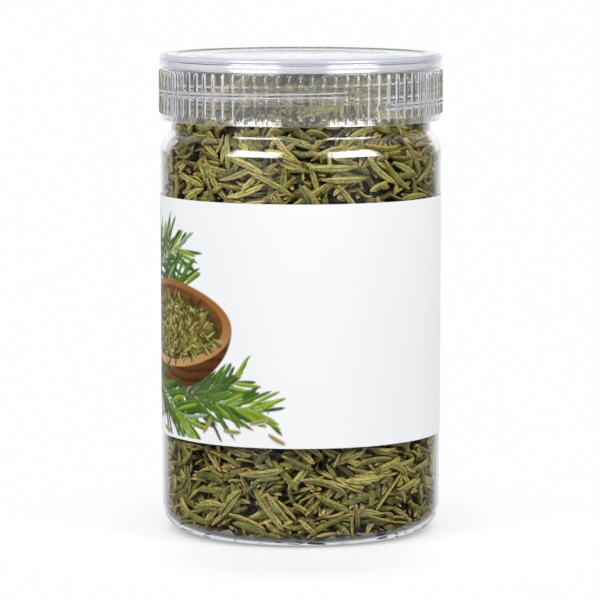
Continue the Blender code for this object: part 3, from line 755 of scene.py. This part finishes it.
# the jar's inside: radius by height, and the floor's height by radius
insideLine = [(1.8, 35.7), (2.3, 38.2), (3.2, 40.0), (4.6, 41.2), (6.3, 41.95), (8.2, 42.2), (118.9, 42.45),
              (120.5, 42.2), (121.9, 41.64), (122.8, 41.0), (123.5, 40.3), (124.2, 39.6), (125.0, 39.2),
              (145.0, 39.2)]
floorLine = [(0, 4.0), (22, 3.5), (31, 2.4), (33.5, 1.8), (36, 1.8), (43, 1.8)]


def insideRadius(height):
    heights, radii = zip(*insideLine)
    return np.minimum(np.interp(height, heights, radii), np.interp(height + 0.8, heights, radii))


def insideFloor(radius):
    radii, heights = zip(*floorLine)
    return np.interp(radius, radii, heights)


def dots(first, second):
    return np.einsum("ij,ij->i", first, second)


def unit(rows):
    return rows / np.maximum(1e-9, np.linalg.norm(rows, axis=1))[:, None]


def readCadLeaves():
    # the leaves of the CAD model stay where they are, and the loose ones settle round them
    found = []
    for name, node in sorted(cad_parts.items()):
        if not name.startswith(("leaf_", "stem_bit")):
            continue
        points = np.array([v.co for v in node.data.vertices]) / mm
        middle = (points.max(0) + points.min(0)) / 2
        axes = np.linalg.svd(points - points.mean(0), full_matrices=False)[2]
        reach = [(points - middle) @ a for a in axes]
        middle = middle + sum(a * (r.max() + r.min()) / 2 for a, r in zip(axes, reach))
        half = [(r.max() - r.min()) / 2 for r in reach]
        found.append({"name": name, "place": middle, "ahead": axes[0], "up": axes[2], "half": half})
    return found


def scatterLeaves(random):
    rows = []
    for band in herb["bands"]:
        heights = np.linspace(band["low"], band["high"], 60)
        outer = insideRadius(heights)
        inner = outer - herb["shellDepth"]
        if band["inner"] is not None:
            outer, inner = inner + 1.0, outer * 0 + band["inner"]
        area = (outer ** 2 - inner ** 2) * math.pi * band["halfDegrees"] / 180
        volume = area.mean() * (band["high"] - band["low"])
        count = int(volume * herb["fill"] / herb["meanVolume"])
        height = np.interp(random.random(count), np.cumsum(area) / area.sum(), heights)
        out, into = np.interp(height, heights, outer), np.interp(height, heights, inner)
        radius = np.sqrt(into ** 2 + (out ** 2 - into ** 2) * random.random(count))
        angle = math.pi / 2 + np.radians(band["halfDegrees"]) * random.uniform(-1, 1, count)
        outward = np.stack([np.cos(angle), np.sin(angle), 0 * angle], 1)
        sideways = np.stack([-np.sin(angle), np.cos(angle), 0 * angle], 1)
        upward = np.tile([0.0, 0.0, 1.0], (count, 1))
        lay = np.radians(np.where(random.random(count) < 0.2, random.uniform(-90, 90, count),
                                  random.normal(0, 34, count)))
        tip = np.radians(np.where(random.random(count) < 0.28, random.normal(0, 50, count),
                                  random.normal(0, 11, count)))
        if band["inner"] is not None:
            outward, upward = upward, outward
            lay = random.uniform(-math.pi, math.pi, count)
        ahead = np.cos(tip)[:, None] * (np.cos(lay)[:, None] * sideways + np.sin(lay)[:, None] * upward)
        ahead += np.sin(tip)[:, None] * outward
        kind = random.random(count)
        whole, piece = kind < herb["whole"], kind < herb["whole"] + herb["broken"]
        length = np.where(whole, np.clip(random.normal(12.2, 2.5, count), 8.0, 18.0),
                          np.where(piece, random.uniform(4.5, 8.5, count), random.uniform(2.0, 3.8, count)))
        width = np.where(whole, np.clip(random.normal(2.1, 0.25, count), 1.5, 2.8),
                         np.where(piece, random.uniform(1.6, 2.2, count), random.uniform(1.3, 1.9, count)))
        place = np.stack([radius * np.cos(angle), radius * np.sin(angle), height], 1)
        for i in range(count):
            face = outward[i] * random.choice((-1, 1))
            thick = width[i] / 2 * random.uniform(0.52, 0.66)
            rows.append((place[i], ahead[i], face, length[i] / 2, width[i] / 2, thick, band))
    return rows


def nearestOnPair(leaves, first, second):
    gap = leaves["place"][first] - leaves["place"][second]
    ahead, other = leaves["ahead"][first], leaves["ahead"][second]
    reach, otherReach = leaves["half"][first] * 0.94, leaves["half"][second] * 0.94
    both, near, far = dots(ahead, other), dots(ahead, gap), dots(other, gap)
    spread = np.maximum(1e-4, 1 - both ** 2)
    along = np.clip((both * far - near) / spread, -reach, reach)
    otherAlong = np.clip(both * along + far, -otherReach, otherReach)
    along = np.clip(both * otherAlong - near, -reach, reach)
    return gap + along[:, None] * ahead - otherAlong[:, None] * other, along, otherAlong


def thicknessAlong(leaves, chosen, normal, along):
    # half the leaf's thickness in that direction, less towards its tips
    side = np.cross(leaves["up"][chosen], leaves["ahead"][chosen])
    taper = 1 - 0.5 * (np.abs(along) / leaves["half"][chosen]) ** 4
    wide = leaves["wide"][chosen] * dots(side, normal)
    thick = leaves["thick"][chosen] * dots(leaves["up"][chosen], normal)
    return np.hypot(wide, thick) * taper


def closePairs(leaves):
    place, half = leaves["place"].astype(np.float32), leaves["half"].astype(np.float32)
    firsts, seconds = [], []
    for start in range(0, len(place), herb["pairsPerBlock"]):
        block = slice(start, start + herb["pairsPerBlock"])
        apart = np.linalg.norm(place[block, None, :] - place[None, :, :], axis=2)
        close = apart < half[block, None] + half[None, :] + 3.0
        rows, columns = np.nonzero(close)
        keep = columns > rows + start
        firsts.append(rows[keep] + start)
        seconds.append(columns[keep])
    first, second = np.concatenate(firsts), np.concatenate(seconds)
    apart = np.linalg.norm(nearestOnPair(leaves, first, second)[0], axis=1)
    keep = apart < leaves["wide"][first] + leaves["wide"][second] + 1.2
    return first[keep], second[keep]


def settleLeaves(leaves, rounds):
    count = len(leaves["half"])
    soft = np.maximum(leaves["half"], 2.5) ** 2
    for turn in range(rounds):
        if turn % 9 == 0:
            first, second = closePairs(leaves)
        shift, swing = np.zeros((count, 3)), np.zeros((count, 3))
        pressed = np.zeros((count, 3, 3))

        def pushLeaf(chosen, along, normal, amount):
            for axis in range(3):
                shift[:, axis] += np.bincount(chosen, amount * normal[:, axis], count)
                turning = amount * normal[:, axis] * 3 * along / soft[chosen]
                swing[:, axis] += np.bincount(chosen, turning, count)
            for i in range(3):
                for j in range(3):
                    load = np.abs(amount) * normal[:, i] * normal[:, j]
                    pressed[:, i, j] += np.bincount(chosen, load, count)

        gap, along, otherAlong = nearestOnPair(leaves, first, second)
        apart = np.linalg.norm(gap, axis=1)
        normal = gap / np.maximum(apart, 1e-6)[:, None]
        need = thicknessAlong(leaves, first, normal, along)
        need = need + thicknessAlong(leaves, second, normal, otherAlong)
        amount = np.maximum(0.0, need * herb["overlap"] - apart)
        weight = leaves["free"][first] * (1 + 3 * along ** 2 / soft[first])
        otherWeight = leaves["free"][second] * (1 + 3 * otherAlong ** 2 / soft[second])
        amount = amount / np.maximum(1e-6, weight + otherWeight)
        pushLeaf(first, along, normal, amount * leaves["free"][first])
        pushLeaf(second, otherAlong, normal, -amount * leaves["free"][second])

        everyLeaf = np.arange(count)
        for end in (-1.0, 0.0, 1.0):
            along = leaves["half"] * end * 0.96
            point = leaves["place"] + leaves["ahead"] * along[:, None]
            radius = np.maximum(1e-6, np.hypot(point[:, 0], point[:, 1]))
            outward = np.stack([point[:, 0] / radius, point[:, 1] / radius, 0 * radius], 1)
            upward = np.tile([0.0, 0.0, 1.0], (count, 1))
            thick = thicknessAlong(leaves, everyLeaf, outward, along)
            wall = insideRadius(point[:, 2]) - thick - herb["wallGap"]
            tall = thicknessAlong(leaves, everyLeaf, upward, along)
            weight = 1 + 3 * along ** 2 / soft
            for direction, over in ((outward, radius - wall), (upward, point[:, 2] - herb["fillTop"] + tall),
                                    (-upward, insideFloor(radius) + tall + herb["floorGap"] - point[:, 2])):
                pushLeaf(everyLeaf, along, direction, -leaves["free"] * np.maximum(0, over) / weight * 2.0)
        radius = np.hypot(leaves["place"][:, 0], leaves["place"][:, 1])
        deep = np.maximum(0, leaves["inner"](leaves["place"][:, 2]) - radius)
        deep = deep * leaves["free"] * leaves["ringed"]
        shift[:, :2] += leaves["place"][:, :2] / np.maximum(1, radius)[:, None] * deep[:, None] * 0.5

        leaves["place"] += herb["push"] * shift
        leaves["place"][:, 2] = np.clip(leaves["place"][:, 2], leaves["low"], leaves["high"])
        leaves["ahead"] = unit(leaves["ahead"] + herb["push"] * swing)
        side = unit(np.cross(leaves["up"], leaves["ahead"]))
        leaves["up"] = unit(np.cross(leaves["ahead"], side))
        if turn % 6 == 5 and turn < rounds * 0.8:
            # each leaf rolls so that its flat faces take the pressure
            sideSide = np.einsum("ni,nij,nj->n", side, pressed, side)
            upUp = np.einsum("ni,nij,nj->n", leaves["up"], pressed, leaves["up"])
            sideUp = np.einsum("ni,nij,nj->n", side, pressed, leaves["up"])
            angle = 0.5 * np.arctan2(2 * sideUp, sideSide - upUp)
            turned = np.cos(angle)[:, None] * side + np.sin(angle)[:, None] * leaves["up"]
            turned *= np.sign(dots(turned, leaves["up"]) + 1e-9)[:, None]
            share = (leaves["free"] * 0.5)[:, None]
            leaves["up"] = unit(leaves["up"] * (1 - share) + turned * share)
            side = unit(np.cross(leaves["up"], leaves["ahead"]))
            leaves["up"] = unit(np.cross(leaves["ahead"], side))


def packLeaves(cadLeaves):
    random = np.random.default_rng(herb["seed"])
    rows = scatterLeaves(random)
    place = np.array([r[0] for r in rows] + [c["place"] for c in cadLeaves])
    leaves = {
        "place": place,
        "ahead": unit(np.array([r[1] for r in rows] + [c["ahead"] for c in cadLeaves])),
        "up": unit(np.array([r[2] for r in rows] + [c["up"] for c in cadLeaves])),
        "half": np.array([r[3] for r in rows] + [c["half"][0] for c in cadLeaves]),
        "wide": np.array([r[4] for r in rows] + [c["half"][1] for c in cadLeaves]),
        "thick": np.array([r[5] for r in rows] + [c["half"][2] for c in cadLeaves]),
        "free": np.array([1.0] * len(rows) + [0.0] * len(cadLeaves)),
        "low": np.array([r[6]["low"] for r in rows] + [0.0] * len(cadLeaves)),
        "high": np.array([r[6]["high"] for r in rows] + [150.0] * len(cadLeaves)),
        "ringed": np.array([float(r[6]["inner"] is None) for r in rows] + [0.0] * len(cadLeaves)),
        "inner": lambda height: insideRadius(height) - herb["shellDepth"],
    }
    side = unit(np.cross(leaves["up"], leaves["ahead"]))
    leaves["up"] = unit(np.cross(leaves["ahead"], side))
    settleLeaves(leaves, int(herb["rounds"] * fewer))
    return leaves, [r[6]["name"] for r in rows], random


def growTube(sides, stations):
    # a ring in the YZ plane drawn out along X, open ends closed
    drawn = bmesh.new()
    layers = {name: drawn.verts.layers.float.new(name) for name in ("along", "across", "under", "tint")}
    ring = bmesh.ops.create_circle(drawn, segments=sides, radius=1.0)["verts"]
    bmesh.ops.rotate(drawn, verts=ring, cent=(0, 0, 0), matrix=Matrix.Rotation(math.pi / 2, 3, "Y"))
    bmesh.ops.rotate(drawn, verts=ring, cent=(0, 0, 0), matrix=Matrix.Rotation(math.pi / 2, 3, "X"))
    edges = drawn.edges[:]
    for step in np.diff(stations):
        grown = bmesh.ops.extrude_edge_only(drawn, edges=edges)["geom"]
        fresh = {g for g in grown if isinstance(g, bmesh.types.BMVert)}
        edges = [g for g in grown if isinstance(g, bmesh.types.BMEdge) and set(g.verts) <= fresh]
        bmesh.ops.translate(drawn, verts=list(fresh), vec=(step, 0, 0))
    bmesh.ops.holes_fill(drawn, edges=[e for e in drawn.edges if e.is_boundary])
    return drawn, layers


# share along the leaf, width, thickness
bladeLine = [(0.0, 0.26, 0.42), (0.05, 0.36, 0.55), (0.12, 0.66, 0.78), (0.30, 0.98, 1.0), (0.55, 1.0, 1.0),
             (0.78, 0.84, 0.9), (0.93, 0.50, 0.62), (1.0, 0.14, 0.2)]
bitLine = [(0.0, 0.35, 0.4), (0.2, 0.85, 0.85), (0.6, 1.0, 1.0), (0.85, 0.75, 0.8), (1.0, 0.3, 0.35)]


def drawLeaf(line, bend, sideBend, twist, sides=8, stations=None):
    # unit leaf: 1 long, 1 wide, 1 thick; leafFrame gives its size
    shares, widths, thicks = zip(*line)
    drawn, layers = growTube(sides, stations if stations is not None else shares)
    for vert in drawn.verts:
        share = vert.co.x
        around = math.atan2(vert.co.z, vert.co.y)
        above = vert.co.z > 0
        dip = math.exp(-((math.pi / 2 - abs(around)) / (0.30 if above else 0.42)) ** 2)
        rise = abs(math.sin(around)) ** 0.75 * (1 - (0.26 if above else 0.66) * dip)
        vert[layers["along"]] = share
        vert[layers["across"]] = math.cos(around)
        vert[layers["under"]] = -math.sin(around)
        wide, thick = np.interp(share, shares, widths), np.interp(share, shares, thicks)
        y, z = math.cos(around) * wide / 2, (rise if above else -rise) * thick / 2
        turn = twist * (share - 0.5)
        arch = 1 - (2 * share - 1) ** 2 - 0.6
        vert.co = Vector((share - 0.5, y * math.cos(turn) - z * math.sin(turn) + sideBend * arch,
                          y * math.sin(turn) + z * math.cos(turn) + bend * arch))
    bmesh.ops.recalc_face_normals(drawn, faces=drawn.faces)
    return drawn, layers


def meshOf(drawn, name):
    mesh = bpy.data.meshes.new(name)
    drawn.to_mesh(mesh)
    drawn.free()
    return mesh


def leafFrame(leaves, index):
    ahead, up = Vector(leaves["ahead"][index]), Vector(leaves["up"][index])
    side = up.cross(ahead)
    size = leaves["half"][index] * 2, leaves["wide"][index] * 2, leaves["thick"][index] * 2
    columns = [a * s * mm for a, s in zip((ahead, side, up), size)]
    columns.append(leaves["place"][index] * mm)
    return Matrix([*([column[i] for column in columns] for i in range(3)), (0, 0, 0, 1)])


def leafMaterial():
    # dried rosemary, air dried and rubbed: leathery with a low sheen, olive to sage, with felted pale
    # undersides
    material, tree = newMaterial("dried_rosemary_leaf")
    place = addNode(tree, "ShaderNodeTexCoord").outputs["Object"]
    read = {name: addNode(tree, "ShaderNodeAttribute", {"attribute_name": name}).outputs["Fac"]
            for name in ("tint", "along", "across", "under")}
    ramp = addNode(tree, "ShaderNodeValToRGB", links={"Fac": reckon(tree, "MULTIPLY", read["tint"], 0.5)})
    stops = [(0.0, "#3E5822"), (0.10, "#6C8034"), (0.20, "#A2AA46"), (0.30, "#CBC757"), (0.40, "#EEE066"),
             (0.49, "#FFF070"), (0.52, "#A87638"), (0.75, "#D49C58"), (1.0, "#F4CE96")]
    for _ in stops[2:]:
        ramp.color_ramp.elements.new(0.5)
    # all places first, then the colours, because the ramp keeps its stops in order
    for element, stop in zip(ramp.color_ramp.elements, stops):
        element.position = stop[0]
    for element, stop in zip(ramp.color_ramp.elements, stops):
        element.color = toLinear(stop[1])
    fromMiddle = reckon(tree, "ABSOLUTE", read["across"], 0.0)

    def mixed(factor, first, hexText, blend="MIX"):
        settings = {"data_type": "RGBA", "blend_type": blend, 7: toLinear(hexText)}
        return addNode(tree, "ShaderNodeMix", settings, {"Factor": factor, 6: first}).outputs[2]

    # smooth dark green above, pale felt below
    colour = mixed(ramped(tree, read["under"], -0.35, 0.1, 0.75, 0.0), ramp.outputs[0], "#76864E", "MULTIPLY")
    colour = mixed(ramped(tree, read["under"], 0.0, 0.5, 0.0, 0.62), colour, "#EEE58C")
    # stipple of glands and folds, 0.4 mm apart
    cells = addNode(tree, "ShaderNodeTexVoronoi", {"Scale": 1 / (0.40 * mm)}, {"Vector": place})
    colour = mixed(ramped(tree, cells.outputs["Distance"], 0.1, 0.6, 0.55, 0.0), colour, "#FFF7B0")
    colour = mixed(ramped(tree, cells.outputs["Distance"], 0.45, 0.85, 0.0, 0.55), colour, "#6C6F2E")
    patch = addNode(tree, "ShaderNodeTexNoise", {"Scale": 1 / (2.0 * mm), "Detail": 3.0}, {"Vector": place})
    colour = mixed(ramped(tree, patch.outputs["Fac"], 0.4, 0.68, 0.0, 0.6), colour, "#C8BA72", "MULTIPLY")
    # dark channel below, its edges ragged, and a faint groove above: the channel's own darker colour together
    # with painted shade in the groove
    ragged = addNode(tree, "ShaderNodeTexNoise", {"Scale": 1 / (0.6 * mm), "Detail": 1.0}, {"Vector": place})
    wander = reckon(tree, "MULTIPLY", reckon(tree, "SUBTRACT", ragged.outputs["Fac"], 0.5), 0.28)
    reach = reckon(tree, "ADD", fromMiddle, wander)
    channel = reckon(tree, "MULTIPLY", ramped(tree, reach, 0.02, 0.20, 0.9, 0.0),
                     ramped(tree, read["under"], -0.3, 0.3, 0.35, 1.0))
    colour = mixed(channel, colour, "#2B2F17")
    # yellowed margins, browned tip, and an orange foot with its scar on more than half of them
    colour = mixed(ramped(tree, fromMiddle, 0.84, 1.0, 0.0, 0.6), colour, "#E8CB52")
    colour = mixed(ramped(tree, read["along"], 0.88, 1.0, 0.0, 0.75), colour, "#BC8C48")
    chance = reckon(tree, "FRACT", reckon(tree, "MULTIPLY", read["tint"], 37.0), 0.0)
    footed = reckon(tree, "LESS_THAN", chance, 0.6)
    foot = reckon(tree, "MULTIPLY", ramped(tree, read["along"], 0.06, 0.16, 1.0, 0.0), footed)
    colour = mixed(foot, colour, "#DDB066")
    scar = reckon(tree, "MULTIPLY", ramped(tree, read["along"], 0.0, 0.04, 0.9, 0.0), footed)
    colour = mixed(scar, colour, "#F3E4C8")
    # painted shade: deeper leaves are darkened towards the near-black shade tone; gap is how far in from the
    # wall a point is, and the neck is narrower than the body
    flat = addNode(tree, "ShaderNodeVectorMath", {"operation": "MULTIPLY", 1: (1, 1, 0)}, {0: place})
    radius = addNode(tree, "ShaderNodeVectorMath", {"operation": "LENGTH"}, {0: flat.outputs["Vector"]})
    height = addNode(tree, "ShaderNodeSeparateXYZ", links={0: place}).outputs["Z"]
    wall = ramped(tree, height, 0.118, 0.125, 42.4 * mm, 39.2 * mm)
    gap = reckon(tree, "SUBTRACT", wall, radius.outputs["Value"])
    shade = ramped(tree, gap, herb["shadeFrom"] * mm, herb["shadeTo"] * mm, 0.0, 0.88)
    colour = mixed(shade, colour, herb["paintedShadeDark"])
    dent = addNode(tree, "ShaderNodeBump", {"Strength": 0.9, "Distance": 0.12 * mm},
                   {"Height": cells.outputs["Distance"]})
    finish = {"Roughness": 0.4, "IOR": 1.45, "Specular IOR Level": 0.8}
    leaf = addNode(tree, "ShaderNodeBsdfPrincipled", finish,
                   {"Base Color": colour, "Normal": dent.outputs[0]})
    addNode(tree, "ShaderNodeOutputMaterial", links={"Surface": leaf.outputs[0]})
    return material


leafLook = leafMaterial()


def buildLooseLeaves(leaves, names, random):
    variants = []
    for number in range(herb["blades"]):
        blade = drawLeaf(bladeLine, random.normal(0, 0.9), random.normal(0, 0.35), random.normal(0, 0.5))[0]
        variants.append(meshOf(blade, f"blade_{number}"))
    bit = meshOf(drawLeaf(bitLine, 0, 0.1, 0)[0], "bit")
    angle = np.degrees(np.arctan2(leaves["place"][:, 1], leaves["place"][:, 0])) + 180
    for band in herb["bands"]:
        sectors = herb["sectors"][band["name"]]
        for sector in range(sectors):
            low, high = 360 * sector / sectors, 360 * (sector + 1) / sectors
            drawn = bmesh.new()
            for index, name in enumerate(names):
                if name != band["name"] or not (low <= angle[index] < high or sectors == 1):
                    continue
                small = leaves["half"][index] < herb["bitHalf"]
                source = bit if small else variants[index % len(variants)]
                copy = source.copy()
                tint = random.random() ** 0.9 * 0.98
                if random.random() < (0.6 if small else 0.06):
                    tint = random.uniform(1.05, 1.9)
                copy.attributes["tint"].data.foreach_set("value", [tint] * len(copy.vertices))
                copy.transform(leafFrame(leaves, index))
                drawn.from_mesh(copy)
                bpy.data.meshes.remove(copy)
            name = f"loose_leaves_{band['name']}_{sector + 1}"
            piece = makePiece(drawn, name, leafLook, "jar")
            print(piece.name, len(piece.data.polygons))
    for mesh in [*variants, bit]:
        bpy.data.meshes.remove(mesh)


def buildCadLeaves(cadLeaves, random):
    stations = np.linspace(0, 1, 17)
    for leaf in cadLeaves:
        stem = leaf["name"].startswith("stem")
        drawn, layers = drawLeaf(bitLine if stem else bladeLine, random.normal(0, 0.3),
                                 random.normal(0, 0.12), random.normal(0, 0.4), 16, stations)
        tint = 1.3 if stem else random.uniform(0.35, 0.95)
        for vert in drawn.verts:
            vert[layers["tint"]] = tint
        half, wide, thick = leaf["half"]
        pose = {"place": [leaf["place"]], "ahead": [leaf["ahead"]], "up": [leaf["up"]],
                "half": [half], "wide": [wide], "thick": [thick]}
        bmesh.ops.transform(drawn, matrix=leafFrame(pose, 0), verts=drawn.verts)
        makePiece(drawn, "fine_" + leaf["name"], leafLook, "jar", [leaf["name"]])


cadLeaves = readCadLeaves()
leaves, names, random = packLeaves(cadLeaves)
print("leaves have settled:", len(names))
buildLooseLeaves(leaves, names, random)
buildCadLeaves(cadLeaves, random)

# Bulk of the filling, what shows between the leaves: deeper leaves, coloured near black as painted shade. Radii
# and heights in mm.
core = {
    "short": 0.8,           # how much less deep than the shell of loose leaves
    "topHeight": 141.5, "neckRadius": 39.2, "neckFoot": 124.0, "bodyRadius": 42.4, "shoulderFoot": 118.0,
    "lowRadius": 42.2, "heelHeight": 8.0, "floorRadius": 31.0, "floorHeight": 6.0, "middleHeight": 6.5,
    "columns": 96, "streak": 3.0, "lumpSize": 5, "lumpShare": 0.012,
}


def buildCore():
    material, tree = newMaterial("rosemary_bulk_painted_shade")
    place = addNode(tree, "ShaderNodeTexCoord")
    streak = addNode(tree, "ShaderNodeTexVoronoi", {"Scale": 1 / (core["streak"] * mm)},
                     {"Vector": place.outputs["Object"]})
    # painted shade: the bulk is coloured near black, as the deeper leaves lie in shadow
    tones = {"data_type": "RGBA", 6: toLinear(herb["paintedShadeLight"]), 7: toLinear(herb["paintedShadeDark"])}
    tone = addNode(tree, "ShaderNodeMix", tones, {"Factor": streak.outputs["Distance"]})
    dent = addNode(tree, "ShaderNodeBump", {"Strength": 1.0, "Distance": 1.0 * mm},
                   {"Height": streak.outputs["Distance"]})
    bulk = addNode(tree, "ShaderNodeBsdfPrincipled", {"Roughness": 0.85},
                   {"Base Color": tone.outputs[2], "Normal": dent.outputs[0]})
    addNode(tree, "ShaderNodeOutputMaterial", links={"Surface": bulk.outputs[0]})
    depth = herb["shellDepth"] - core["short"]
    neck = core["neckRadius"] - depth
    drawn = drawProfile([
        (0.0, core["topHeight"], 0, 0),
        (neck, core["topHeight"], 1.5, 3),
        (neck, core["neckFoot"], 1.0, 2),
        (core["bodyRadius"] - depth, core["shoulderFoot"], 1.0, 2),
        (core["lowRadius"] - depth, core["heelHeight"], 2.0, 3),
        (core["floorRadius"], core["floorHeight"], 1.0, 2),
        (0.0, core["middleHeight"], 0, 0),
    ])
    spinRound(drawn, core["columns"])
    for vert in drawn.verts:
        lump = noise.noise(vert.co / (core["lumpSize"] * mm))
        vert.co.x *= 1 + core["lumpShare"] * lump
        vert.co.y *= 1 + core["lumpShare"] * lump
    makePiece(drawn, "rosemary_bulk", material, "jar", ["rosemary_bed"])


buildCore()
print("bulk is in")
